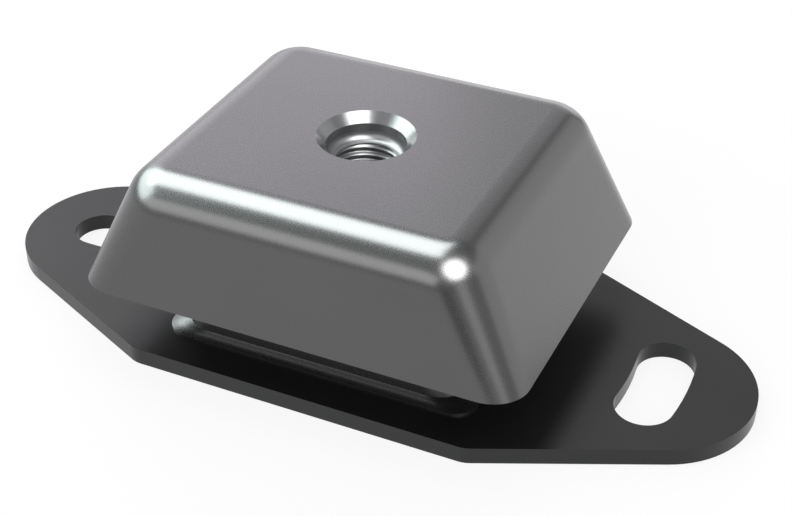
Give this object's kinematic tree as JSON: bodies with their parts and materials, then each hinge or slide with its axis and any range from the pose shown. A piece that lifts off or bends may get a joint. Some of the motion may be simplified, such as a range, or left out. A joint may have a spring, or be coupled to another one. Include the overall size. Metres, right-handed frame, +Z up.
{
  "type": "marine engine mount",
  "caption": "Flexible engine mount: a steel hood with a threaded centre, carried by inclined rubber pads on a saddle welded to a slotted base plate.",
  "frame": {"origin": "middle of the base plate's underside", "axes": "+X along the base plate towards the curved slot, +Z up along the stud's axis, +Y across the plate"},
  "size_m": [0.183, 0.0814, 0.049],
  "materials": {
    "black_steel": "satin black paint on steel",
    "grey_steel": "satin metallic grey coat on pressed steel",
    "bright_steel": "turned and zinc plated",
    "rubber": "moulded, matt",
    "spring_steel": "blackened spring steel"
  },
  "bodies": {
    "root": {"base_plate": "black_steel", "saddle": "black_steel", "hood": "grey_steel", "threaded_hub": "bright_steel", "rubber_pad_left": "rubber", "rubber_pad_right": "rubber", "overload_buffer": "rubber", "rebound_buffer": "rubber", "rebound_washer": "bright_steel", "retaining_ring": "spring_steel"}
  },
  "joints": []
}
